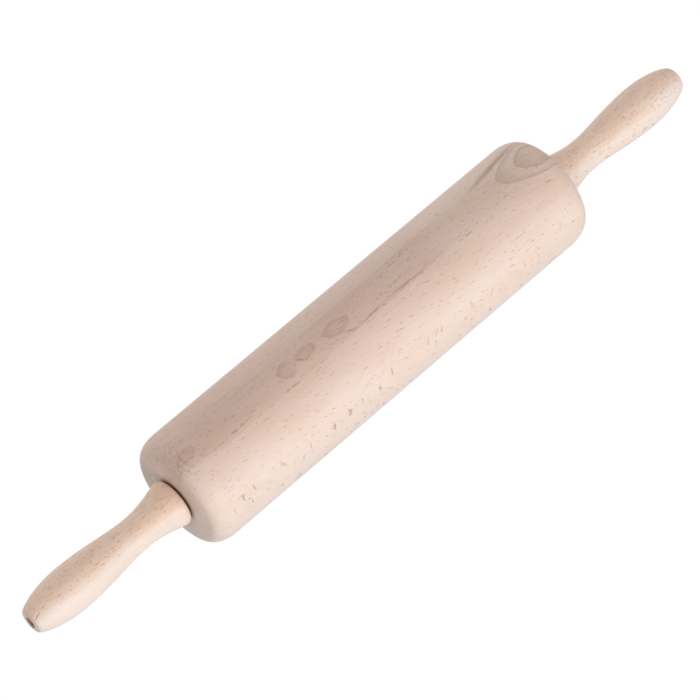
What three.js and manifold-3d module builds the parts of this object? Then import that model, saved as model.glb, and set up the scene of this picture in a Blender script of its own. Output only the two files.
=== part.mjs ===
// A turned beech rolling pin: a roller that spins freely on a steel rod, between two handles fixed to that rod.
// Millimetres, +Z up. The pin lies along X and rests on Z = 0, with the middle of the roller at X = 0.
import * as THREE from "three";
import { mergeVertices } from "three/addons/utils/BufferGeometryUtils.js";
import Module from "manifold-3d";

// Roller
const ROLLER_LENGTH = 250;
const ROLLER_DIAMETER = 60;
const ROLLER_EDGE_RADIUS = 9;

// Handles, measured along the axis from the tip or from the shoulder that faces the roller
const HANDLE_LENGTH = 90;
const TIP_DIAMETER = 12.6;
const BELLY_DIAMETER = 23.2;
const BELLY_FROM_TIP = 25;
const NECK_DIAMETER = 17.2;
const NECK_FROM_SHOULDER = 25;
const SHOULDER_DIAMETER = 24.6;
const SHOULDER_EDGE_RADIUS = 1.2;

// How far each curve of the handle keeps its direction, as a share of its own stretch
const SHOULDER_EASE = 0.2;
const FLARE_EASE = 0.54;
const NECK_EASE = 0.26;
const BELLY_EASE = 0.42;
const NOSE_EASE = 0.57;
// How far the nose curve rises straight out of the flat tip
const NOSE_RISE = 1;

// Axle rod, held in the handles by a knurled band near each end
const AXLE_DIAMETER = 6;
const AXLE_CHAMFER = 0.6;
const TIP_HOLE_DEPTH = 12;
const KNURL_LENGTH = 30;
const KNURL_FROM_END = 6;
const KNURL_HEIGHT = 0.15;
const KNURL_DEPTH = 0.25;
const KNURL_TEETH = 20;

// Flanged bushes in the roller's ends, and the thrust washers outside them
const BUSH_WALL = 1.6;
const BUSH_SLEEVE_LENGTH = 20;
const FLANGE_REACH = 2;
const FLANGE_THICKNESS = 1.6;
const WASHER_WIDTH = 3.6;
const WASHER_THICKNESS = 1;

// Clearances, each on one side
const RUNNING_CLEARANCE = 0.2;
const SEAT_CLEARANCE = 0.2;
const GRIP_CLEARANCE = 0.3;
const PASSAGE_CLEARANCE = 1;
const END_FLOAT = 0.15;

// Smoothness of the turned faces
const ROLLER_SEGMENTS = 48;
const HANDLE_SEGMENTS = 40;
const SMALL_SEGMENTS = 32;
const EDGE_STEPS = 6;
const SHOULDER_STEPS = 3;
const CURVE_STEPS = 7;

// Sizes that follow from the ones above
const AXLE_RADIUS = AXLE_DIAMETER / 2;
const RUNNING_RADIUS = AXLE_RADIUS + RUNNING_CLEARANCE;
const SLEEVE_RADIUS = RUNNING_RADIUS + BUSH_WALL;
const FLANGE_RADIUS = SLEEVE_RADIUS + FLANGE_REACH;
const ROLLER_HALF = ROLLER_LENGTH / 2;
const HANDLE_GAP = WASHER_THICKNESS + 2 * END_FLOAT;
const SHOULDER_X = ROLLER_HALF + HANDLE_GAP;
const AXLE_HALF = SHOULDER_X + HANDLE_LENGTH - TIP_HOLE_DEPTH;
// The roller's lowest facet lies on Z = 0.
const AXIS_HEIGHT = (ROLLER_DIAMETER / 2) * Math.cos(Math.PI / ROLLER_SEGMENTS);

const rollerBeech = new THREE.MeshStandardMaterial({ color: 0xe2c6b2, roughness: 0.72, metalness: 0 });
const handleBeech = new THREE.MeshStandardMaterial({ color: 0xdcc0a5, roughness: 0.7, metalness: 0 });
const brightSteel = new THREE.MeshStandardMaterial({ color: 0xa9abad, roughness: 0.35, metalness: 1 });
const nylon = new THREE.MeshStandardMaterial({ color: 0xe6e2d6, roughness: 0.55, metalness: 0 });

const wasm = await Module();
wasm.setup();

const point = (radius, along) => new THREE.Vector2(radius, along);

// Turns an outline of (radius, along) points about the local Y axis, with a facet facing straight down.
function turned(outline, segments) {
  return new THREE.LatheGeometry(outline, segments, Math.PI / segments);
}

// The outline of a bored piece ends where it began.
function turnedRing(outline, segments) {
  return turned([...outline, outline[0]], segments);
}

function rollerGeometry() {
  const radius = ROLLER_DIAMETER / 2;
  const edgeCentre = point(radius - ROLLER_EDGE_RADIUS, ROLLER_HALF - ROLLER_EDGE_RADIUS);
  const edge = new THREE.EllipseCurve(
    edgeCentre.x, edgeCentre.y, ROLLER_EDGE_RADIUS, ROLLER_EDGE_RADIUS, Math.PI / 2, 0, true);
  const passage = AXLE_RADIUS + PASSAGE_CLEARANCE;
  const sleeveSeat = SLEEVE_RADIUS + SEAT_CLEARANCE;
  const flangeSeat = FLANGE_RADIUS + SEAT_CLEARANCE;
  const flangeFloor = ROLLER_HALF - FLANGE_THICKNESS - SEAT_CLEARANCE;
  const sleeveFloor = flangeFloor - BUSH_SLEEVE_LENGTH;
  const rightHalf = [
    point(passage, sleeveFloor),
    point(sleeveSeat, sleeveFloor),
    point(sleeveSeat, flangeFloor),
    point(flangeSeat, flangeFloor),
    point(flangeSeat, ROLLER_HALF),
    ...edge.getPoints(EDGE_STEPS),
  ];
  const leftHalf = rightHalf.map((p) => point(p.x, -p.y)).reverse();
  return turnedRing([...rightHalf, ...leftHalf].reverse(), ROLLER_SEGMENTS);
}

// The handle stands on its shoulder at 0 and its tip is at HANDLE_LENGTH.
function handleGeometry() {
  const bore = AXLE_RADIUS + GRIP_CLEARANCE;
  const tip = point(TIP_DIAMETER / 2, HANDLE_LENGTH);
  const belly = point(BELLY_DIAMETER / 2, HANDLE_LENGTH - BELLY_FROM_TIP);
  const neck = point(NECK_DIAMETER / 2, NECK_FROM_SHOULDER);
  const shoulder = point(SHOULDER_DIAMETER / 2, SHOULDER_EDGE_RADIUS);
  const flareSpan = neck.y - shoulder.y;
  const gripSpan = belly.y - neck.y;
  const shoulderEdge = new THREE.EllipseCurve(
    shoulder.x - SHOULDER_EDGE_RADIUS, shoulder.y, SHOULDER_EDGE_RADIUS, SHOULDER_EDGE_RADIUS, -Math.PI / 2, 0);
  const flare = new THREE.CubicBezierCurve(
    shoulder,
    point(shoulder.x, shoulder.y + SHOULDER_EASE * flareSpan),
    point(neck.x, neck.y - FLARE_EASE * flareSpan),
    neck);
  const grip = new THREE.CubicBezierCurve(
    neck,
    point(neck.x, neck.y + NECK_EASE * gripSpan),
    point(belly.x, belly.y - BELLY_EASE * gripSpan),
    belly);
  const nose = new THREE.CubicBezierCurve(
    belly,
    point(belly.x, belly.y + NOSE_EASE * BELLY_FROM_TIP),
    point(tip.x + NOSE_RISE, tip.y),
    tip);
  return turnedRing([
    point(bore, 0),
    ...shoulderEdge.getPoints(SHOULDER_STEPS),
    ...flare.getPoints(CURVE_STEPS).slice(1),
    ...grip.getPoints(CURVE_STEPS).slice(1),
    ...nose.getPoints(CURVE_STEPS).slice(1),
    point(bore, HANDLE_LENGTH),
  ], HANDLE_SEGMENTS);
}

// The bush's flange face is at 0, and its sleeve runs down into the roller.
function bushGeometry() {
  const sleeveEnd = -FLANGE_THICKNESS - BUSH_SLEEVE_LENGTH;
  return turnedRing([
    point(RUNNING_RADIUS, sleeveEnd),
    point(SLEEVE_RADIUS, sleeveEnd),
    point(SLEEVE_RADIUS, -FLANGE_THICKNESS),
    point(FLANGE_RADIUS, -FLANGE_THICKNESS),
    point(FLANGE_RADIUS, 0),
    point(RUNNING_RADIUS, 0),
  ], SMALL_SEGMENTS);
}

function washerGeometry() {
  return turnedRing([
    point(RUNNING_RADIUS, 0),
    point(RUNNING_RADIUS + WASHER_WIDTH, 0),
    point(RUNNING_RADIUS + WASHER_WIDTH, WASHER_THICKNESS),
    point(RUNNING_RADIUS, WASHER_THICKNESS),
  ], SMALL_SEGMENTS);
}

// A straight-toothed band, centred on the axis, from one place along it to KNURL_LENGTH further on.
function knurlGeometry(from) {
  const outline = [];
  for (let i = 0; i < 2 * KNURL_TEETH; i += 1) {
    const angle = (i * Math.PI) / KNURL_TEETH;
    const radius = AXLE_RADIUS + (i % 2 === 0 ? KNURL_HEIGHT : -KNURL_DEPTH);
    outline.push(point(radius * Math.cos(angle), radius * Math.sin(angle)));
  }
  const band = new THREE.ExtrudeGeometry(new THREE.Shape(outline), { depth: KNURL_LENGTH, bevelEnabled: false });
  return band.rotateX(-Math.PI / 2).translate(0, from, 0);
}

// A closed geometry as a solid: shared corners merged, and the empty triangles at the lathe's poles left out.
function solidOf(geometry) {
  geometry.deleteAttribute("normal");
  geometry.deleteAttribute("uv");
  const merged = mergeVertices(geometry);
  const corners = merged.index.array;
  const triangles = [];
  for (let i = 0; i < corners.length; i += 3) {
    const [a, b, c] = corners.slice(i, i + 3);
    if (a !== b && b !== c && c !== a) triangles.push(a, b, c);
  }
  const mesh = new wasm.Mesh({
    numProp: 3,
    vertProperties: new Float32Array(merged.attributes.position.array),
    triVerts: new Uint32Array(triangles),
  });
  return new wasm.Manifold(mesh);
}

function axleGeometry() {
  const rod = turned([
    point(0, -AXLE_HALF),
    point(AXLE_RADIUS - AXLE_CHAMFER, -AXLE_HALF),
    point(AXLE_RADIUS, -AXLE_HALF + AXLE_CHAMFER),
    point(AXLE_RADIUS, AXLE_HALF - AXLE_CHAMFER),
    point(AXLE_RADIUS - AXLE_CHAMFER, AXLE_HALF),
    point(0, AXLE_HALF),
  ], SMALL_SEGMENTS);
  const knurlStart = AXLE_HALF - KNURL_FROM_END - KNURL_LENGTH;
  const knurlEnd = knurlStart + KNURL_LENGTH;
  const solid = solidOf(rod).add(solidOf(knurlGeometry(knurlStart))).add(solidOf(knurlGeometry(-knurlEnd)));
  const { vertProperties, triVerts } = solid.getMesh();
  const geometry = new THREE.BufferGeometry();
  geometry.setAttribute("position", new THREE.BufferAttribute(vertProperties, 3));
  geometry.setIndex(new THREE.BufferAttribute(triVerts, 1));
  geometry.computeVertexNormals();
  return geometry;
}

function piece(name, geometry, material, along = 0) {
  const mesh = new THREE.Mesh(geometry, material);
  mesh.name = name;
  mesh.position.y = along;
  return mesh;
}

// One end of the pin, from its bush out to its handle. The left end is the right end turned half round.
function pinEnd(side, turn) {
  const end = new THREE.Group();
  end.rotation.z = turn;
  end.add(
    piece(`${side}_bush`, bushGeometry(), nylon, ROLLER_HALF),
    piece(`${side}_washer`, washerGeometry(), brightSteel, ROLLER_HALF + END_FLOAT),
    piece(`${side}_handle`, handleGeometry(), handleBeech, SHOULDER_X),
  );
  return end;
}

// Everything is turned about Y, then laid along X at the height of the axis.
const pin = new THREE.Group();
pin.rotation.z = -Math.PI / 2;
pin.position.z = AXIS_HEIGHT;
pin.add(
  piece("roller", rollerGeometry(), rollerBeech),
  piece("axle_rod", axleGeometry(), brightSteel),
  pinEnd("right", 0),
  pinEnd("left", Math.PI),
);

const rollingPin = new THREE.Group();
rollingPin.add(pin);

export default rollingPin;
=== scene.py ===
# The finished look of a turned beech rolling pin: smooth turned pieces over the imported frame,
# procedural beech, a pale floor, soft light from three sides and the camera.
# Metres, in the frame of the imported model. The beech is worked out in millimetres from the pin's axis.
import math

import bpy
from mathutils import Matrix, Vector


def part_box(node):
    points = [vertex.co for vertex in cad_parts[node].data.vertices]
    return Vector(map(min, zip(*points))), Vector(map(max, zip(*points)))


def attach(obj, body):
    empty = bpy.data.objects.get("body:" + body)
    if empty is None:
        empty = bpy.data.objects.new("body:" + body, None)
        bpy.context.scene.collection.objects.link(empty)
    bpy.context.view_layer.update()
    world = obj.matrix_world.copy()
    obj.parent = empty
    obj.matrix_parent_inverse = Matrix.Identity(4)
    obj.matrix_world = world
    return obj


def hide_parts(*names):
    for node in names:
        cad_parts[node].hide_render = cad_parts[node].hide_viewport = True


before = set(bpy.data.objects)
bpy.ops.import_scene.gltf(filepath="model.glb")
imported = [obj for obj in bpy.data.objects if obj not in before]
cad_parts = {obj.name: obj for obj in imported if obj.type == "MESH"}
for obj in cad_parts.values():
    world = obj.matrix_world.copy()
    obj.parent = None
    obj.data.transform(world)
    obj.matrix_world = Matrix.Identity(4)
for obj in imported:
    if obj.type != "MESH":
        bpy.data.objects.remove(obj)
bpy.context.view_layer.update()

MM = 0.001

# Sizes read from the frame
roller_low, roller_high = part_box("roller")
handle_low, handle_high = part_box("right_handle")
AXIS_HEIGHT = (roller_low[2] + roller_high[2]) / 2
ROLLER_RADIUS = (roller_high[2] - roller_low[2]) / 2
ROLLER_END = roller_high[0]
SHOULDER_RADIUS = (handle_high[2] - handle_low[2]) / 2
SHOULDER_END = handle_low[0]
TIP_END = handle_high[0]

# Turned outlines
EDGE_ON_FACE = 7 * MM
EDGE_ON_BARREL = 12 * MM
PASSAGE_RADIUS = 4 * MM
SLEEVE_SEAT_RADIUS = 5 * MM
SLEEVE_SEAT_DEPTH = 21.8 * MM
FLANGE_SEAT_RADIUS = 7 * MM
FLANGE_SEAT_DEPTH = 1.8 * MM
HANDLE_BORE_RADIUS = 3.3 * MM
SHOULDER_EDGE = 1.2 * MM
NECK_RADIUS = 8.6 * MM
NECK_FROM_SHOULDER = 25 * MM
BELLY_RADIUS = 11.6 * MM
BELLY_FROM_TIP = 25 * MM
TIP_RADIUS = 6.3 * MM
TIP_EDGE = 0.5 * MM
NOSE_RISE = 1 * MM
TIP_DOME = 0.5 * MM

# How far each curve keeps its direction, as a share of its own stretch
FACE_EASE = 0.5
BARREL_EASE = 0.7
SHOULDER_EASE = 0.2
FLARE_EASE = 0.54
NECK_EASE = 0.26
BELLY_EASE = 0.42
NOSE_EASE = 0.57

# Smoothness of the turned faces
ROLLER_SEGMENTS = 160
HANDLE_SEGMENTS = 112
ROLLER_EDGE_STEPS = 20
SMALL_EDGE_STEPS = 4
CURVE_STEPS = 18
LENGTH_STEPS = 20
START_PLANE = 1 * MM
SAME_POINT = 0.005 * MM
SMOOTH_ANGLE = math.radians(35)

# The photograph's view
VIEW_AZIMUTH = math.radians(-44.64)
VIEW_ELEVATION = math.radians(58.87)
VIEW_DISTANCE = 1.7
VIEW_LENS = 183.1
SENSOR_WIDTH = 36
AIM = Vector((-0.00936, 0.00223, 0.02692))

# The stage: the floor's size and grey, how bright it glows to the camera and in what share of its look,
# and the room's light
WHITE = (1, 1, 1, 1)
FLOOR_SIZE = 8
FLOOR_GREY = (0.32, 0.32, 0.32, 1)
FLOOR_GLOW = 1.1
FLOOR_GLOW_SHARE = 0.9
ROOM_LIGHT = 0.57

# Softboxes: place, width and height, and power in watts
SOFTBOXES = {
    "key_softbox": ((0.1, -1.9, 0.5), (1.2, 0.7), 19.4),
    "left_softbox": ((-1, -1, 0.2), (0.5, 0.4), 2.8),
    "back_softbox": ((0, 1.3, 0.3), (1.6, 0.5), 4.2),
}


def srgb(red, green, blue):
    """A colour as read off a screen, from 0 to 255, as the linear colour that a shader takes."""
    def linear(value):
        share = value / 255
        return share / 12.92 if share <= 0.04045 else ((share + 0.055) / 1.055) ** 2.4
    return (linear(red), linear(green), linear(blue), 1)


# Outlines, as points of (place along the pin, radius)

def arc(centre, radius, start, end, steps):
    """Points on a round edge, between two angles in degrees, with 0 pointing outwards along the pin."""
    points = []
    for i in range(steps + 1):
        angle = math.radians(start + (end - start) * i / steps)
        points.append((centre[0] + radius * math.cos(angle), centre[1] + radius * math.sin(angle)))
    return points


def sweep(a, b, c, d, steps):
    """Points on a cubic curve after its first point."""
    points = []
    for i in range(1, steps + 1):
        t = i / steps
        u = 1 - t
        points.append(tuple(
            u ** 3 * a[k] + 3 * u * u * t * b[k] + 3 * u * t * t * c[k] + t ** 3 * d[k] for k in (0, 1)))
    return points


def roller_outline():
    face = (ROLLER_END, ROLLER_RADIUS - EDGE_ON_FACE)
    barrel = (ROLLER_END - EDGE_ON_BARREL, ROLLER_RADIUS)
    right = [
        (ROLLER_END - SLEEVE_SEAT_DEPTH, PASSAGE_RADIUS),
        (ROLLER_END - SLEEVE_SEAT_DEPTH, SLEEVE_SEAT_RADIUS),
        (ROLLER_END - FLANGE_SEAT_DEPTH, SLEEVE_SEAT_RADIUS),
        (ROLLER_END - FLANGE_SEAT_DEPTH, FLANGE_SEAT_RADIUS),
        (ROLLER_END, FLANGE_SEAT_RADIUS),
        face,
    ]
    right += sweep(
        face, (ROLLER_END, face[1] + FACE_EASE * EDGE_ON_FACE),
        (barrel[0] + BARREL_EASE * EDGE_ON_BARREL, ROLLER_RADIUS), barrel, ROLLER_EDGE_STEPS)
    left = [(-x, radius) for x, radius in reversed(right)]
    middle = [(barrel[0] - 2 * barrel[0] * i / LENGTH_STEPS, ROLLER_RADIUS) for i in range(1, LENGTH_STEPS)]
    return right + middle + left


def handle_outline():
    shoulder = (SHOULDER_END + SHOULDER_EDGE, SHOULDER_RADIUS)
    neck = (SHOULDER_END + NECK_FROM_SHOULDER, NECK_RADIUS)
    belly = (TIP_END - BELLY_FROM_TIP, BELLY_RADIUS)
    tip = (TIP_END - TIP_DOME - TIP_EDGE, TIP_RADIUS)
    flare = neck[0] - shoulder[0]
    grip = belly[0] - neck[0]
    outline = [(SHOULDER_END, HANDLE_BORE_RADIUS)]
    outline += arc((shoulder[0], SHOULDER_RADIUS - SHOULDER_EDGE), SHOULDER_EDGE, 180, 90, SMALL_EDGE_STEPS)
    outline += sweep(
        shoulder, (shoulder[0] + SHOULDER_EASE * flare, shoulder[1]),
        (neck[0] - FLARE_EASE * flare, neck[1]), neck, CURVE_STEPS)
    outline += sweep(
        neck, (neck[0] + NECK_EASE * grip, neck[1]),
        (belly[0] - BELLY_EASE * grip, belly[1]), belly, CURVE_STEPS)
    outline += sweep(
        belly, (belly[0] + NOSE_EASE * BELLY_FROM_TIP, belly[1]),
        (tip[0], tip[1] + NOSE_RISE), tip, CURVE_STEPS)
    outline += arc((tip[0], TIP_RADIUS - TIP_EDGE), TIP_EDGE, 90, 0, SMALL_EDGE_STEPS)[1:]
    outline.append((TIP_END, HANDLE_BORE_RADIUS))
    return outline


def turn(name, outline, segments):
    """A bored piece turned about the pin's axis: its outline is drawn point by point, closed and spun."""
    first_x, first_radius = outline[0]
    bpy.ops.object.select_all(action="DESELECT")
    bpy.ops.mesh.primitive_plane_add(size=START_PLANE, location=(first_x, 0, AXIS_HEIGHT + first_radius))
    piece = bpy.context.object
    piece.name = name
    piece.data.name = name
    bpy.ops.object.transform_apply(location=True, rotation=True, scale=True)
    bpy.ops.object.mode_set(mode="EDIT")
    bpy.ops.mesh.select_all(action="SELECT")
    bpy.ops.mesh.merge(type="CENTER")
    for (x0, r0), (x1, r1) in zip(outline, outline[1:] + outline[:1]):
        bpy.ops.mesh.extrude_region_move(TRANSFORM_OT_translate={"value": (x1 - x0, 0, r1 - r0)})
    bpy.ops.mesh.select_all(action="SELECT")
    bpy.ops.mesh.remove_doubles(threshold=SAME_POINT)
    bpy.ops.mesh.spin(steps=segments, angle=2 * math.pi, center=(0, 0, AXIS_HEIGHT), axis=(1, 0, 0))
    bpy.ops.mesh.select_all(action="SELECT")
    bpy.ops.mesh.remove_doubles(threshold=SAME_POINT)
    bpy.ops.mesh.normals_make_consistent(inside=False)
    bpy.ops.object.mode_set(mode="OBJECT")
    bpy.ops.object.shade_smooth_by_angle(angle=SMOOTH_ANGLE)
    return piece


# Shader nodes

class Graph:
    """A node tree that is wired as it is written: most calls add a node or a few and give an output."""

    def __init__(self, tree):
        self.tree = tree

    def feed(self, socket, value):
        if isinstance(value, bpy.types.NodeSocket):
            self.tree.links.new(value, socket)
        else:
            socket.default_value = value

    def node(self, kind, inputs=None, **settings):
        node = self.tree.nodes.new(kind)
        for key, value in settings.items():
            setattr(node, key, value)
        for socket, value in (inputs or {}).items():
            self.feed(node.inputs[socket], value)
        return node

    def maths(self, operation, *values):
        return self.node("ShaderNodeMath", dict(enumerate(values)), operation=operation).outputs[0]

    def vector(self, operation, *values):
        node = self.node("ShaderNodeVectorMath", dict(enumerate(values)), operation=operation)
        return node.outputs["Value" if operation in ("LENGTH", "DOT_PRODUCT") else "Vector"]

    def split(self, vector):
        return self.node("ShaderNodeSeparateXYZ", {0: vector}).outputs

    def join(self, x, y, z):
        return self.node("ShaderNodeCombineXYZ", {0: x, 1: y, 2: z}).outputs[0]

    def noise(self, vector, scale, detail=2, roughness=0.5):
        """A noise that changes along each axis as finely as the scale says."""
        scaled = self.vector("MULTIPLY", vector, scale)
        node = self.node("ShaderNodeTexNoise", {
            "Vector": scaled, "Scale": 1, "Detail": detail, "Roughness": roughness})
        return node.outputs["Fac"]

    def swing(self, vector, scale, reach):
        """A noise that swings evenly to both sides of zero."""
        return self.maths("MULTIPLY", self.maths("SUBTRACT", self.noise(vector, scale), 0.5), reach)

    def pick(self, colour, mix):
        """One random number from 0 to 1, mixed from a cell's random colour."""
        return self.maths("FRACT", self.vector("DOT_PRODUCT", colour, mix))

    def ease(self, value, low, high, start=0.0, end=1.0):
        """The value's way from low to high, as a smooth step from start to end."""
        node = self.node("ShaderNodeMapRange", {
            "Value": value, "From Min": low, "From Max": high, "To Min": start, "To Max": end},
            interpolation_type="SMOOTHSTEP")
        return node.outputs["Result"]

    def blend(self, share, under, over, mode="MIX"):
        node = self.node("ShaderNodeMix", {0: share, 6: under, 7: over}, data_type="RGBA", blend_type=mode)
        return node.outputs[2]

    def stain(self, colour, mask, depth, tint):
        """The colour darkened to a tint of itself where the mask is, to a given depth."""
        return self.blend(self.maths("MULTIPLY", mask, depth), colour, (*tint, 1), "MULTIPLY")

    def bump(self, height, strength, distance):
        return self.node("ShaderNodeBump", {
            "Strength": strength, "Distance": distance, "Height": height}).outputs[0]

    def group(self, group, **inputs):
        node = self.node("ShaderNodeGroup", node_tree=group)
        for name, value in inputs.items():
            self.feed(node.inputs[name.replace("_", " ")], value)
        return node.outputs


def new_group(name, inputs, outputs):
    """A shader node group with its named sockets, its graph, its inputs and its output node."""
    group = bpy.data.node_groups.new(name, "ShaderNodeTree")
    for title, kind in inputs:
        group.interface.new_socket(name=title, in_out="INPUT", socket_type=kind)
    for title in outputs:
        group.interface.new_socket(name=title, in_out="OUTPUT", socket_type="NodeSocketFloat")
    graph = Graph(group)
    return group, graph, graph.node("NodeGroupInput").outputs, graph.node("NodeGroupOutput").inputs


VECTOR = "NodeSocketVector"
FLOAT = "NodeSocketFloat"

# From here on, a named row of two or four numbers that is given to ease holds its low and high ends,
# and where it doesn't run from 0 to 1, also its start and end

# Dashes of the rays: the cell that holds one, along, across and deep in mm, and the share of cells that do
LONG_DASHES = ((6, 0.65, 5), 0.24)
SHORT_DASHES = ((3, 0.65, 5), 0.22)
DASH_EDGE = (0.12, 0.36, 1, 0)
DASH_ONSET = 0.08
FAINTEST_DASH = 0.35

# Weights that turn a cell's random colour into its chance and its depth
CHANCE_MIX = (5.3, 7.7, 3.1)
DEPTH_MIX = (3.9, 2.3, 9.1)

# Unevenness of the grain: how finely it changes per mm along, across and deep, and how far it reaches
RING_WANDER = (0.03, 0.08, 0.08)
RING_RAGGED = ((0.3, 0.7, 0.7), 0.16)
DASH_SWAY = ((0.035, 0.07, 0.07), 5)
DASH_CLUSTER = ((0.06, 0.12, 0.12), 0.4)

# One growth ring, from 0 to 1: it starts sharply, with a dark line and more dashes, and fades slowly
RING_ONSET = (0, 0.05)
RING_FADE = (0.04, 0.8, 0.85, 0)
RING_LINE = (0.03, 0.14, 0.15, 0)
RING_CROWD = (0, 0.16, 0.12, 0)

# Noises of the grain: how finely they change per mm along, across and deep, their detail and roughness
FIBRE_NOISE = ((0.03, 1.6, 0.8), 4, 0.6)
CLOUD_NOISE = ((0.02, 0.1, 0.1), 3)
PORE_NOISE = ((0.5, 4, 3), 2, 0.7)
PORE_EDGE = (0.6, 0.75)


def dashes(graph, place, crowd, cell, share):
    """Thin spindles along the grain, one to a cell, in a share of the cells that grows where they crowd."""
    spindles = graph.node("ShaderNodeTexVoronoi", {"Vector": graph.vector("DIVIDE", place, cell), "Scale": 1})
    spindle = graph.ease(spindles.outputs["Distance"], *DASH_EDGE)
    chance = graph.pick(spindles.outputs["Color"], CHANCE_MIX)
    present = graph.ease(graph.maths("ADD", chance, crowd), 1 - share, 1 - share + DASH_ONSET)
    depth = graph.pick(spindles.outputs["Color"], DEPTH_MIX)
    depth = graph.maths("MULTIPLY_ADD", depth, 1 - FAINTEST_DASH, FAINTEST_DASH)
    return graph.maths("MULTIPLY", graph.maths("MULTIPLY", spindle, present), depth)


def make_beech_grain():
    """Growth rings round a leaning pith, dashes of the rays, fibres, pores and slow clouds. Millimetres."""
    group, graph, given, put_out = new_group(
        "Beech grain",
        [("Position", VECTOR), ("Pith", VECTOR), ("Lean", FLOAT), ("Reach", FLOAT), ("Lift", FLOAT),
         ("Crowd", FLOAT), ("Ring Start", FLOAT), ("Ring Spacing", FLOAT), ("Ring Wander", FLOAT),
         ("Spiral", FLOAT)],
        ["Turns", "Ring", "Dash", "Fibre", "Cloud", "Pore"])
    position = given["Position"]
    x, y, z = graph.split(position)
    pith = graph.vector("ADD", given["Pith"], graph.join(0, graph.maths("MULTIPLY", x, given["Lean"]), 0))
    from_pith = graph.vector("SUBTRACT", graph.join(0, y, z), pith)
    level = graph.maths("SUBTRACT", graph.vector("LENGTH", from_pith), graph.vector("LENGTH", pith))
    offset = graph.split(from_pith)
    angle = graph.maths("ARCTAN2", offset["Y"], offset["Z"])

    wander = graph.swing(position, RING_WANDER, given["Ring Wander"])
    ragged = graph.swing(position, *RING_RAGGED)
    lifted = graph.maths("ADD", graph.maths("ADD", level, graph.maths("ADD", wander, ragged)), given["Lift"])
    turns = graph.maths("DIVIDE", graph.maths("SUBTRACT", lifted, given["Ring Start"]), given["Ring Spacing"])
    phase = graph.maths("FRACT", turns)
    fade = graph.maths("ADD", graph.ease(phase, *RING_FADE), graph.ease(phase, *RING_LINE))
    ring = graph.maths("MULTIPLY", graph.ease(phase, *RING_ONSET), fade)
    graph.feed(put_out["Turns"], turns)
    graph.feed(put_out["Ring"], ring)

    sway = graph.swing(position, *DASH_SWAY)
    spiral = graph.maths("MULTIPLY_ADD", x, given["Spiral"], sway)
    across = graph.maths("MULTIPLY_ADD", angle, given["Reach"], spiral)
    place = graph.join(x, across, level)
    cluster = graph.swing(position, *DASH_CLUSTER)
    crowd = graph.maths("ADD", cluster, given["Crowd"])
    crowd = graph.maths("ADD", crowd, graph.ease(phase, *RING_CROWD))
    long_dashes = dashes(graph, place, crowd, *LONG_DASHES)
    short_dashes = dashes(graph, place, crowd, *SHORT_DASHES)
    graph.feed(put_out["Dash"], graph.maths("MAXIMUM", long_dashes, short_dashes))
    graph.feed(put_out["Fibre"], graph.noise(place, *FIBRE_NOISE))
    graph.feed(put_out["Cloud"], graph.noise(place, *CLOUD_NOISE))
    graph.feed(put_out["Pore"], graph.ease(graph.noise(place, *PORE_NOISE), *PORE_EDGE))
    return group


# The edge of a mark: how finely it is ragged per mm along, across and deep, and how a spindle fades to it
MARK_RAGGED = (0.3, 0.6, 0.6)
SPINDLE_FADE = (0.1, 1, 1, 0)

# An oval: how its outline bows, how it darkens from the middle outwards, and its rim
OVAL_BOW = 1.5
OVAL_FILL = (0.1, 0.85, 0.45, 1)
OVAL_RIM = (0.78, 1.15, 1, 0)

# A chain of strokes: the length taken by each and its half width in mm, and that length in half strokes,
# then how unevenly the strokes follow each other and jump aside, and how they and the chain end
CHAIN_STEP = 4.4
CHAIN_STROKE = 0.42
HALF_STROKES = 2.1
CHAIN_UNEVEN = ((0.17, 0.3, 0.3), 9)
CHAIN_JUMP = ((3.7, 1, 1), 2.4)
STROKE_FADE = (0.3, 1, 1, 0)
CHAIN_END = (0.85, 1.05, 1, 0)


def make_wood_mark():
    """One dark mark in the wood: a soft leaning spindle, a ragged oval or a chain of strokes. Millimetres."""
    group, graph, given, put_out = new_group(
        "Wood mark",
        [("Place", VECTOR), ("Centre", VECTOR), ("Half Size", VECTOR), ("Slant", FLOAT), ("Ragged", FLOAT)],
        ["Spindle", "Oval", "Chain"])
    x, y, z = graph.split(graph.vector("SUBTRACT", given["Place"], given["Centre"]))
    leaned = graph.maths("SUBTRACT", y, graph.maths("MULTIPLY", x, given["Slant"]))
    local = graph.vector("DIVIDE", graph.join(x, leaned, z), given["Half Size"])
    ragged = graph.swing(given["Place"], MARK_RAGGED, given["Ragged"])
    distance = graph.maths("ADD", graph.vector("LENGTH", local), ragged)
    graph.feed(put_out["Spindle"], graph.ease(distance, *SPINDLE_FADE))

    shares = graph.split(local)
    along = shares["X"]
    bow = graph.maths("POWER", graph.maths("ABSOLUTE", shares["Y"]), OVAL_BOW)
    edge = graph.maths("ADD", graph.maths("MULTIPLY_ADD", along, along, bow), ragged)
    fill = graph.ease(edge, *OVAL_FILL)
    graph.feed(put_out["Oval"], graph.maths("MULTIPLY", graph.ease(edge, *OVAL_RIM), fill))

    uneven = graph.swing(given["Place"], *CHAIN_UNEVEN)
    step = graph.maths("DIVIDE", graph.maths("ADD", x, uneven), CHAIN_STEP)
    jump = graph.swing(graph.join(graph.maths("FLOOR", step), y, 0), *CHAIN_JUMP)
    from_middle = graph.maths("SUBTRACT", graph.maths("FRACT", step), 0.5)
    stroke_along = graph.maths("MULTIPLY", from_middle, HALF_STROKES)
    stroke_aside = graph.maths("DIVIDE", graph.maths("ADD", leaned, jump), CHAIN_STROKE)
    stroke = graph.vector("LENGTH", graph.join(stroke_along, stroke_aside, 0))
    reach = graph.ease(graph.maths("ABSOLUTE", along), *CHAIN_END)
    graph.feed(put_out["Chain"], graph.maths("MULTIPLY", graph.ease(stroke, *STROKE_FADE), reach))
    return group


beech_grain = make_beech_grain()
wood_mark = make_wood_mark()


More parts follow.
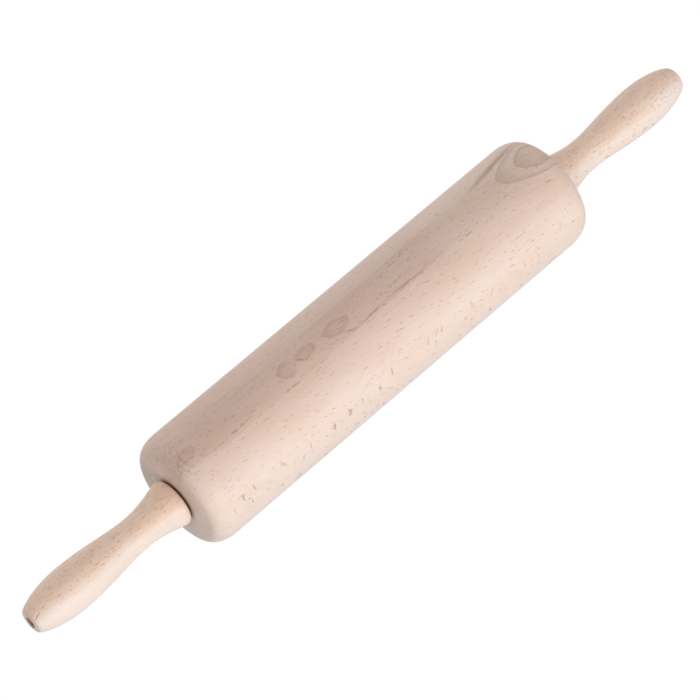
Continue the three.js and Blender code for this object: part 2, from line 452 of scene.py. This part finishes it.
def mark_at(graph, place, centre, half_size, slant, ragged):
    return graph.group(
        wood_mark, Place=place, Centre=centre, Half_Size=half_size, Slant=slant, Ragged=ragged)


def new_material(name):
    material = bpy.data.materials.new(name)
    material.use_nodes = True
    material.node_tree.nodes.clear()
    return material, Graph(material.node_tree)


def finish_material(graph, inputs, **links):
    shader = graph.node("ShaderNodeBsdfPrincipled", inputs)
    for name, socket in links.items():
        graph.feed(shader.inputs[name.replace("_", " ")], socket)
    output = graph.node("ShaderNodeOutputMaterial")
    graph.feed(output.inputs["Surface"], shader.outputs[0])


def axis_position(graph):
    """Object coordinates in millimetres, measured from the pin's axis."""
    place = graph.node("ShaderNodeTexCoord").outputs["Object"]
    mapping = graph.node("ShaderNodeMapping", {
        "Vector": place, "Location": (0, 0, -AXIS_HEIGHT / MM), "Scale": (1 / MM, 1 / MM, 1 / MM)})
    return mapping.outputs[0]


# How the parts of the figure tint the beech, and the tint of the shade painted in the gaps and in the bore
RING_TINT = (0.76, 0.78, 0.77)
OVAL_TINT = (0.77, 0.73, 0.7)
TAN_TINT = (0.97, 0.92, 0.84)
TOP_TINT = (0.852, 0.783, 0.757)
STREAK_TINT = (0.68, 0.57, 0.53)
# Painted shade, for the gap between roller and handle and for the handle's bore
PAINTED_SHADE_TINT = (0.48, 0.36, 0.29)

# Stains that all the beech has: depth and tint
FIBRE_STAIN = (0.6, (0.94, 0.92, 0.9))
PORE_STAIN = (0.5, (0.9, 0.86, 0.82))
DENT_STAIN = (0.8, (0.54, 0.41, 0.33))

# How the fibres, the clouds and the dents show in the colour, the sheen and the relief
FIBRE_SHADE = (0.35, 0.75)
FIBRE_SHEEN = (0.2, 0.8, 0.46, 0.6)
CLOUD_SHADE = (0.42, 0.68)
DENT_RELIEF = 0.6
BEECH_BUMP = (0.3, 0.1 * MM)
BEECH_SPECULAR = {"Specular IOR Level": 0.5}


def finish_beech(graph, colour, grain, dents):
    """Sanded bare beech: its fibres and its dents stand in the relief, and the fibres in the sheen."""
    colour = graph.stain(colour, graph.ease(grain["Fibre"], *FIBRE_SHADE), *FIBRE_STAIN)
    colour = graph.stain(colour, grain["Pore"], *PORE_STAIN)
    colour = graph.stain(colour, dents, *DENT_STAIN)
    relief = graph.maths("SUBTRACT", grain["Fibre"], graph.maths("MULTIPLY", dents, DENT_RELIEF))
    bump = graph.bump(relief, *BEECH_BUMP)
    rough = graph.ease(grain["Fibre"], *FIBRE_SHEEN)
    finish_material(graph, BEECH_SPECULAR, Base_Color=colour, Roughness=rough, Normal=bump)


# Where the roller's topmost ring shows as an oval: place along and round from the top, half size, slant,
# in mm, then its depth and how far it fades towards the right
ROLLER_OVALS = [
    ((-51.6, 1), (6, 4.6), 0, 0.85, 0.9),
    ((-39.2, 1.9), (6.7, 3.5), 0.08, 0.75, 0),
    ((-19.2, 1.8), (8.1, 4.3), 0, 0.75, 0.1),
    ((-116.8, 0.9), (6.6, 3.2), 0.1, 0.6, 0),
]

# The roller's other marks, all given as place along and round from the top, half size and slant, in mm:
# a tan patch, the streak at the right end, dark strokes and thin lines, chains of strokes along the grain,
# and rows where the dashes lie dense
TAN_PATCH = [((-44, -3), (13, 5), 0)]
RIGHT_STREAK = [((101, 16.9), (27, 3.2), 0.21)]
ROLLER_STROKES = [
    ((-47.3, 0.6), (0.9, 0.6), 0.3), ((-43.2, 0.3), (1.6, 0.8), -1.3), ((-15.3, -4.2), (5.5, 0.5), -0.39),
    ((-1.7, -4.7), (13, 0.5), 0.097), ((20.5, -4), (16, 0.5), -0.03)]
ROLLER_CHAINS = [
    ((16, -4.8), (18, 1), 0.01), ((-94, -5.6), (13, 1), 0.02), ((-56, -7.2), (5, 1), -0.05),
    ((-16, -5), (8, 1), 0.1), ((20, 8.8), (18, 1), 0.07), ((60, -5.4), (6, 1), 0),
    ((12, -0.2), (11, 1), 0.06)]
DASH_ROWS = [
    ((15, -4.7), (21, 1.3), 0), ((12, -1), (16, 2.2), 0.06), ((20, 8.6), (22, 1.4), 0.08),
    ((-94, -5.8), (17, 1.3), 0.03), ((-56, -7.2), (9, 1.2), -0.05), ((-15, -5), (10, 1.3), 0.12),
    ((-12.5, 2.6), (4, 2.6), 0), ((-117, 1), (6.5, 2.8), 0), ((-121, 4), (3.5, 8), 0)]

# How ragged the edges of these marks are
OVAL_RAGGED = 0.8
PATCH_RAGGED = 0.4
STREAK_RAGGED = 0.5
STROKE_RAGGED = 0.3
ROW_RAGGED = 0.8


def marks_of(graph, surface, marks, ragged=0.0, kind="Spindle"):
    """The deepest of several marks of one kind at each place."""
    deepest = 0.0
    for centre, half_size, slant in marks:
        mark = mark_at(graph, surface, (*centre, 0), (*half_size, 1), slant, ragged)
        deepest = graph.maths("MAXIMUM", deepest, mark[kind])
    return deepest


def oval_marks(graph, surface):
    x = graph.split(surface)["X"]
    deepest = 0.0
    for centre, half_size, slant, depth, fade in ROLLER_OVALS:
        oval = mark_at(graph, surface, (*centre, 0), (*half_size, 1), slant, OVAL_RAGGED)
        fade_start = centre[0] - half_size[0] / 3
        fade_end = centre[0] + half_size[0]
        tone = graph.ease(x, fade_start, fade_end, depth, depth * (1 - fade))
        deepest = graph.maths("MAXIMUM", deepest, graph.maths("MULTIPLY", oval["Oval"], tone))
    return deepest


# Crooked marks across the grain: the cell that holds one, along and round in mm, how they bend, how many
# cells have one, how they thin to the right, their edge, and the two bands round the roller that show them
RAY_CELL_ALONG = 3.2
RAY_CELL_ROUND = 13
RAY_BEND = ((0.22, 0.3, 1), 5)
RAY_CHANCE = (0.55, 0.95)
RAY_THINNING = (-60, 70, 1, 0.4)
RAY_EDGE = (0.08, 0.26, 1, 0)
RAY_BANDS = (-35.5, 58.5)
RAY_BAND_EDGE = (2, 7, 1, 0)


def ray_marks(graph, surface):
    """Crooked marks across the grain, on the two bands where the face runs along the rays."""
    place = graph.split(surface)
    x = place["X"]
    around = place["Y"]
    bent = graph.maths("ADD", x, graph.swing(surface, *RAY_BEND))
    cell = graph.join(
        graph.maths("DIVIDE", bent, RAY_CELL_ALONG), graph.maths("DIVIDE", around, RAY_CELL_ROUND), 0)
    marks = graph.node("ShaderNodeTexVoronoi", {"Vector": cell, "Scale": 1}, voronoi_dimensions="2D")
    present = graph.ease(graph.pick(marks.outputs["Color"], CHANCE_MIX), *RAY_CHANCE)
    present = graph.maths("MULTIPLY", present, graph.ease(x, *RAY_THINNING))
    mark = graph.maths("MULTIPLY", graph.ease(marks.outputs["Distance"], *RAY_EDGE), present)
    front, back = (
        graph.ease(graph.maths("ABSOLUTE", graph.maths("SUBTRACT", around, middle)), *RAY_BAND_EDGE)
        for middle in RAY_BANDS)
    return graph.maths("MULTIPLY", mark, graph.maths("MAXIMUM", front, back))


# The stain along the roller's top, in mm: how it sways, where it starts round the front and ends round the
# back, how high it starts inside the wood, which on the end faces is partly painted shade of the handle, how
# deep the face's own stain goes, and how it thins towards the middle, towards the right and on the tan patch
TOP_SWAY = ((0.05, 0.1, 0.1), 3)
TOP_FRONT = (-8.2, -2.8)
TOP_BACK = (28, 56, 1, 0)
TOP_INSIDE_AND_SHADE = (-4, 15)
TOP_SKIN = (14, 25)
TOP_MIDDLE = (-100, -55, 0.8, 0.55)
TOP_RIGHT = (35, 60, 1, 0.3)
TOP_ON_PATCH = (0, 1, 1, 0.2)


def top_stain(graph, position, around, radius, tan_patch):
    place = graph.split(position)
    sway = graph.swing(position, *TOP_SWAY)
    swayed = graph.maths("ADD", around, sway)
    face = graph.maths("MULTIPLY", graph.ease(swayed, *TOP_FRONT), graph.ease(swayed, *TOP_BACK))
    # On the end faces the stain goes by height, partly as painted shade that the handle casts there
    inside = graph.ease(graph.maths("ADD", place["Z"], sway), *TOP_INSIDE_AND_SHADE)
    skin = graph.ease(radius, *TOP_SKIN)
    top = graph.maths("MULTIPLY_ADD", graph.maths("SUBTRACT", face, inside), skin, inside)
    top = graph.maths("MULTIPLY", top, graph.ease(place["X"], *TOP_MIDDLE))
    top = graph.maths("MULTIPLY", top, graph.ease(place["X"], *TOP_RIGHT))
    return graph.maths("MULTIPLY", top, graph.ease(tan_patch, *TOP_ON_PATCH))


# Where the rings rise through the roller's face at its right end, how steeply and how high, and where and
# how deep they follow its rounded edge, in mm
RISE_START = 92
RISE_SLOPE = 0.088
RISE_HEIGHT = 2.1
FOLLOW_EDGE = (112, 116)
FOLLOW_DEPTH = 6


def ring_lift(graph, x, radius):
    sunk = graph.maths("MINIMUM", graph.maths("SUBTRACT", ROLLER_RADIUS / MM, radius), FOLLOW_DEPTH)
    sunk = graph.maths("MULTIPLY", sunk, graph.ease(x, *FOLLOW_EDGE))
    rise = graph.maths("MULTIPLY", graph.maths("SUBTRACT", x, RISE_START), RISE_SLOPE)
    rise = graph.maths("MINIMUM", graph.maths("MAXIMUM", rise, 0), RISE_HEIGHT)
    return graph.maths("ADD", rise, sunk)


# How strongly the roller's rings show: faintly below the first ring, more where it is cloudy, in full above
# it, near the crest at both ends, and little on the end faces
RINGS_BELOW = (-3, -0.8, 0.04, 0.35)
RINGS_IN_CLOUDS = (0.4, 0.6, 0.3, 1)
RINGS_ABOVE = (-0.02, 0.02)
CREST_MIDDLE = 2
CREST_RINGS = (7, 16, 0.6, 0.1)
END_RINGS = (116, 119)
FACE_RINGS = (20, 27, 0.3, 1)


def rings_shown(graph, x, around, radius, grain):
    below = graph.ease(grain["Turns"], *RINGS_BELOW)
    below = graph.maths("MULTIPLY", below, graph.ease(grain["Cloud"], *RINGS_IN_CLOUDS))
    above = graph.ease(grain["Turns"], *RINGS_ABOVE)
    from_crest = graph.maths("ABSOLUTE", graph.maths("SUBTRACT", around, CREST_MIDDLE))
    crest = graph.ease(from_crest, *CREST_RINGS)
    end = graph.maths("MULTIPLY", graph.ease(graph.maths("ABSOLUTE", x), *END_RINGS), crest)
    shown = graph.maths("MAXIMUM", graph.maths("MAXIMUM", below, above), end)
    return graph.maths("MULTIPLY", shown, graph.ease(radius, *FACE_RINGS))


# The roller's own wood: its rings and dashes, its colour by height in mm, which is partly painted light, how
# its marks crowd the dashes, how deep its clouds, patch and chains go, and the ring of painted shade round
# the bush on its end faces, where the gap to the handle lies in shade
ROLLER_GRAIN = dict(
    Pith=(0, -9.5, -95), Lean=-0.08, Reach=120, Ring_Start=30.03, Ring_Spacing=1.15, Ring_Wander=0.35,
    Spiral=0.04)
# Partly wood tone, partly painted light: the greyer underside paints a sheen of the pale floor, the browner
# crest a warmer shade on top
UNDER_TONE_AND_SHEEN = srgb(237, 221, 214)
SIDE_COLOUR = srgb(240, 219, 207)
CREST_TONE_AND_SHADE = srgb(232, 205, 191)
UNDER_TO_SIDE = (-10, 8)
SIDE_TO_CREST = (10, 30)
ROW_CROWD = 0.9
TOP_CROWD = 0.16
ROLLER_CLOUD_DEPTH = 0.6
PATCH_DEPTH = 0.9
CHAIN_DEPTH = 0.62
END_FACE = (124.4, 124.8)
GAP_SHADE_RING = (10, 11.5, 1, 0)


def make_roller_beech():
    material, graph = new_material("roller_beech")
    position = axis_position(graph)
    x, y, z = graph.split(position)
    around = graph.maths("MULTIPLY", graph.maths("ARCTAN2", y, z), ROLLER_RADIUS / MM)
    surface = graph.join(x, around, 0)
    tan_patch = marks_of(graph, surface, TAN_PATCH, PATCH_RAGGED)
    streak = marks_of(graph, surface, RIGHT_STREAK, STREAK_RAGGED)
    strokes = marks_of(graph, surface, ROLLER_STROKES, STROKE_RAGGED)
    rows = marks_of(graph, surface, DASH_ROWS, ROW_RAGGED)

    radius = graph.vector("LENGTH", graph.join(0, y, z))
    top = top_stain(graph, position, around, radius, tan_patch)
    lift = ring_lift(graph, x, radius)
    crowd = graph.maths("MULTIPLY_ADD", rows, ROW_CROWD, graph.maths("MULTIPLY", top, TOP_CROWD))
    grain = graph.group(beech_grain, Position=position, Lift=lift, Crowd=crowd, **ROLLER_GRAIN)
    rings = graph.maths("MULTIPLY", grain["Ring"], rings_shown(graph, x, around, radius, grain))

    # Colour by height: partly the wood's tone, partly a painted sheen below and painted shade on the crest
    colour = graph.blend(graph.ease(z, *UNDER_TO_SIDE), UNDER_TONE_AND_SHEEN, SIDE_COLOUR)
    colour = graph.blend(graph.ease(z, *SIDE_TO_CREST), colour, CREST_TONE_AND_SHADE)
    colour = graph.stain(colour, top, 1, TOP_TINT)
    colour = graph.stain(colour, graph.ease(grain["Cloud"], *CLOUD_SHADE), ROLLER_CLOUD_DEPTH, TAN_TINT)
    colour = graph.stain(colour, tan_patch, PATCH_DEPTH, TAN_TINT)
    colour = graph.stain(colour, rings, 1, RING_TINT)
    colour = graph.stain(colour, streak, 1, STREAK_TINT)
    colour = graph.stain(colour, oval_marks(graph, surface), 1, OVAL_TINT)
    # Painted shade: the end faces darken round the bush, where the gap between roller and handle lies in
    # shade
    face = graph.ease(graph.maths("ABSOLUTE", x), *END_FACE)
    gap_shade = graph.maths("MULTIPLY", face, graph.ease(radius, *GAP_SHADE_RING))
    colour = graph.stain(colour, gap_shade, 1, PAINTED_SHADE_TINT)

    chains = marks_of(graph, surface, ROLLER_CHAINS, kind="Chain")
    dents = graph.maths("MAXIMUM", grain["Dash"], graph.maths("MAXIMUM", ray_marks(graph, surface), strokes))
    dents = graph.maths("MAXIMUM", dents, graph.maths("MULTIPLY", chains, CHAIN_DEPTH))
    finish_beech(graph, colour, grain, dents)
    return material


# The handles' wood: their rings and dashes, the crown that faces up, with its sway and edge, their colours,
# which are partly painted light, and in mm how far the crown darkens to tan from the shoulder, the painted
# shade of the shoulder's flat face in the gap and of the bore inside its pale mouth, and the split in the tip
HANDLE_GRAIN = dict(
    Lean=0.02, Reach=55, Lift=0.0, Ring_Start=10.6, Ring_Spacing=1.7, Ring_Wander=1.2, Spiral=0.05)
CROWN_TOWARDS = (0, 0.17, 0.985)
CROWN_SWAY = ((0.06, 0.2, 0.2), 0.5)
CROWN_EDGE = (0.4, 0.95)
CROWN_CROWD = (0.2, 0.9)
# Partly the wood's tan crown, partly painted light: the paler, greyer side paints a washed-out highlight, the
# browner crown a warmer shade on top
HANDLE_SIDE_TONE_AND_HIGHLIGHT = srgb(243, 226, 216)
HANDLE_CROWN_TONE_AND_SHADE = srgb(241, 211, 192)
HANDLE_CLOUD_DEPTH = 0.65
HANDLE_RING_DEPTH = 0.25
SHOULDER_TAN = (2, 26, 0.5, 0)
SHOULDER_FACE_SHADE = (0, 0.2, 1, 0)
BORE_WALL_SHADE = (3.4, 3.7, 1, 0)
BORE_SHADE_DEPTH = (0.5, 1.2)
SPLIT_SLANT = 0.12
SPLIT_RAGGED = 0.2
SPLIT_DEPTH = 1.8

# What differs from handle to handle: the pith's place, how the dashes crowd from the side to the crown, and
# the centre and half size of the split in the tip, in mm
HANDLES = {
    "left": ((0, -9.4, -44), (-0.25, 0.38), ((-213.4, -2.8, 7.2), (2.8, 0.36, 4))),
    "right": ((0, -9, -40), (0.26, 0.36), None),
}


def make_handle_beech(name, pith, crowds, split):
    material, graph = new_material(name)
    position = axis_position(graph)
    x, y, z = graph.split(position)
    outwards = graph.join(0, y, z)
    crown = graph.vector("DOT_PRODUCT", graph.vector("NORMALIZE", outwards), CROWN_TOWARDS)
    crown = graph.maths("ADD", crown, graph.swing(position, *CROWN_SWAY))
    crown = graph.ease(crown, *CROWN_EDGE)
    crowd = graph.ease(crown, *CROWN_CROWD, *crowds)
    grain = graph.group(beech_grain, Position=position, Pith=pith, Crowd=crowd, **HANDLE_GRAIN)

    # Side to crown: partly the wood's tone, partly a painted highlight on the side and painted shade on the
    # crown
    colour = graph.blend(crown, HANDLE_SIDE_TONE_AND_HIGHLIGHT, HANDLE_CROWN_TONE_AND_SHADE)
    colour = graph.stain(colour, graph.ease(grain["Cloud"], *CLOUD_SHADE), HANDLE_CLOUD_DEPTH, TAN_TINT)
    colour = graph.stain(colour, graph.maths("MULTIPLY", grain["Ring"], crown), HANDLE_RING_DEPTH, RING_TINT)
    along = graph.maths("ABSOLUTE", x)
    from_shoulder = graph.maths("SUBTRACT", along, SHOULDER_END / MM)
    shoulder = graph.maths("MULTIPLY", crown, graph.ease(from_shoulder, *SHOULDER_TAN))
    colour = graph.stain(colour, shoulder, 1, TAN_TINT)
    # Painted shade: the bore darkens deeper than its mouth, and the shoulder's flat face darkens in the gap
    # to the roller
    from_tip = graph.maths("SUBTRACT", TIP_END / MM, along)
    bore = graph.ease(graph.vector("LENGTH", outwards), *BORE_WALL_SHADE)
    bore = graph.maths("MULTIPLY", bore, graph.ease(from_tip, *BORE_SHADE_DEPTH))
    dark = graph.maths("MAXIMUM", bore, graph.ease(from_shoulder, *SHOULDER_FACE_SHADE))
    colour = graph.stain(colour, dark, 1, PAINTED_SHADE_TINT)

    dents = grain["Dash"]
    if split:
        mark = mark_at(graph, position, *split, SPLIT_SLANT, SPLIT_RAGGED)["Spindle"]
        dents = graph.maths("MAXIMUM", dents, graph.maths("MULTIPLY", mark, SPLIT_DEPTH))
    finish_beech(graph, colour, grain, dents)
    return material


# Plain finishes: the noise that moves them, how finely it changes per mm, their darkest and lightest colour,
# their least and most roughness, and the strength and height of their relief
FINE_NOISE = (3, 0.6)
FINE_RANGE = (0.25, 0.75)
AXLE_LINES = (0.05, 2.5, 2.5)
WASHER_LINES = (1.5, 1.5, 1.5)
STEEL_COLOURS = (srgb(150, 152, 155), srgb(188, 190, 193))
STEEL_ROUGHNESS = (0.28, 0.46)
STEEL_BUMP = (0.2, 0.02 * MM)
NYLON_MOTTLE = (0.9, 0.9, 0.9)
NYLON_COLOURS = (srgb(222, 217, 203), srgb(236, 232, 221))
NYLON_ROUGHNESS = (0.45, 0.6)
NYLON_BUMP = (0.15, 0.03 * MM)


def make_plain_finish(name, scale, colours, roughness, relief, inputs):
    """A finish whose fine noise moves its colour, its roughness and its relief together."""
    material, graph = new_material(name)
    fine = graph.noise(axis_position(graph), scale, *FINE_NOISE)
    colour = graph.blend(fine, *colours)
    rough = graph.ease(fine, *FINE_RANGE, *roughness)
    finish_material(graph, inputs, Base_Color=colour, Roughness=rough, Normal=graph.bump(fine, *relief))
    return material


def make_steel(name, lines):
    """Bright steel with fine drawn or stamped lines."""
    return make_plain_finish(name, lines, STEEL_COLOURS, STEEL_ROUGHNESS, STEEL_BUMP, {"Metallic": 1.0})


def make_nylon():
    """Moulded off-white nylon with a faint mottle."""
    return make_plain_finish(
        "bush_nylon", NYLON_MOTTLE, NYLON_COLOURS, NYLON_ROUGHNESS, NYLON_BUMP, {"Specular IOR Level": 0.4})


# Pieces

def dress(piece, material, body, slot, *nodes):
    piece.data.materials.clear()
    piece.data.materials.append(material)
    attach(piece, body)
    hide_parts(*nodes)


roller = turn("turned_roller", roller_outline(), ROLLER_SEGMENTS)
dress(roller, make_roller_beech(), "roller", "roller_beech", "roller")

right_outline = handle_outline()
handle_outlines = {"left": [(-x, radius) for x, radius in right_outline], "right": right_outline}
for side, (pith, crowds, split) in HANDLES.items():
    handle = turn(f"turned_{side}_handle", handle_outlines[side], HANDLE_SEGMENTS)
    beech = make_handle_beech(f"{side}_handle_beech", pith, crowds, split)
    dress(handle, beech, "handles", "handle_beech", f"{side}_handle")

axle_steel = make_steel("axle_steel", AXLE_LINES)
washer_steel = make_steel("washer_steel", WASHER_LINES)
bush_nylon = make_nylon()
for node, material in (
        ("axle_rod", axle_steel), ("left_washer", washer_steel), ("right_washer", washer_steel),
        ("left_bush", bush_nylon), ("right_bush", bush_nylon)):
    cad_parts[node].material_slots[0].material = material


# Stage

def seen_share(graph):
    """1 for a ray from the camera or a mirror-like surface, 0 for the rays that carry light."""
    rays = graph.node("ShaderNodeLightPath").outputs
    return graph.maths("MAXIMUM", rays["Is Camera Ray"], rays["Is Glossy Ray"])


def make_floor():
    """A pale floor that the camera sees as near white, and that still takes the pin's shadow."""
    bpy.ops.object.select_all(action="DESELECT")
    bpy.ops.mesh.primitive_plane_add(size=FLOOR_SIZE)
    floor = bpy.context.object
    floor.name = "floor"
    material, graph = new_material("floor_paper")
    matte = graph.node("ShaderNodeBsdfDiffuse", {"Color": FLOOR_GREY}).outputs[0]
    glow = graph.node("ShaderNodeEmission", {"Color": WHITE, "Strength": FLOOR_GLOW}).outputs[0]
    share = graph.maths("MULTIPLY", seen_share(graph), FLOOR_GLOW_SHARE)
    mixed = graph.node("ShaderNodeMixShader", {0: share, 1: matte, 2: glow}).outputs[0]
    output = graph.node("ShaderNodeOutputMaterial")
    graph.feed(output.inputs["Surface"], mixed)
    floor.data.materials.append(material)


def add_softbox(name, place, size, power):
    bpy.ops.object.select_all(action="DESELECT")
    bpy.ops.object.light_add(type="AREA", location=place)
    lamp = bpy.context.object
    lamp.name = name
    lamp.data.shape = "RECTANGLE"
    lamp.data.size, lamp.data.size_y = size
    lamp.data.energy = power
    lamp.rotation_euler = (Vector((0, 0, AXIS_HEIGHT)) - Vector(place)).to_track_quat("-Z", "Y").to_euler()


def make_world():
    """Even grey room light, seen as white by the camera."""
    world = bpy.data.worlds.new("studio")
    bpy.context.scene.world = world
    world.use_nodes = True
    world.node_tree.nodes.clear()
    graph = Graph(world.node_tree)
    strength = graph.node("ShaderNodeMapRange", {
        "Value": seen_share(graph), "To Min": ROOM_LIGHT, "To Max": 1.0}).outputs[0]
    sky = graph.node("ShaderNodeBackground", {"Color": WHITE, "Strength": strength}).outputs[0]
    output = graph.node("ShaderNodeOutputWorld")
    graph.feed(output.inputs["Surface"], sky)


def add_camera():
    back = Vector((
        math.sin(VIEW_AZIMUTH) * math.cos(VIEW_ELEVATION),
        -math.cos(VIEW_AZIMUTH) * math.cos(VIEW_ELEVATION),
        math.sin(VIEW_ELEVATION)))
    bpy.ops.object.select_all(action="DESELECT")
    bpy.ops.object.camera_add(location=AIM + VIEW_DISTANCE * back)
    camera = bpy.context.object
    camera.name = "camera"
    camera.rotation_euler = back.to_track_quat("Z", "Y").to_euler()
    camera.data.lens = VIEW_LENS
    camera.data.sensor_width = SENSOR_WIDTH
    bpy.context.scene.camera = camera


make_floor()
for name, settings in SOFTBOXES.items():
    add_softbox(name, *settings)
make_world()
add_camera()
bpy.context.scene.view_settings.view_transform = "Standard"
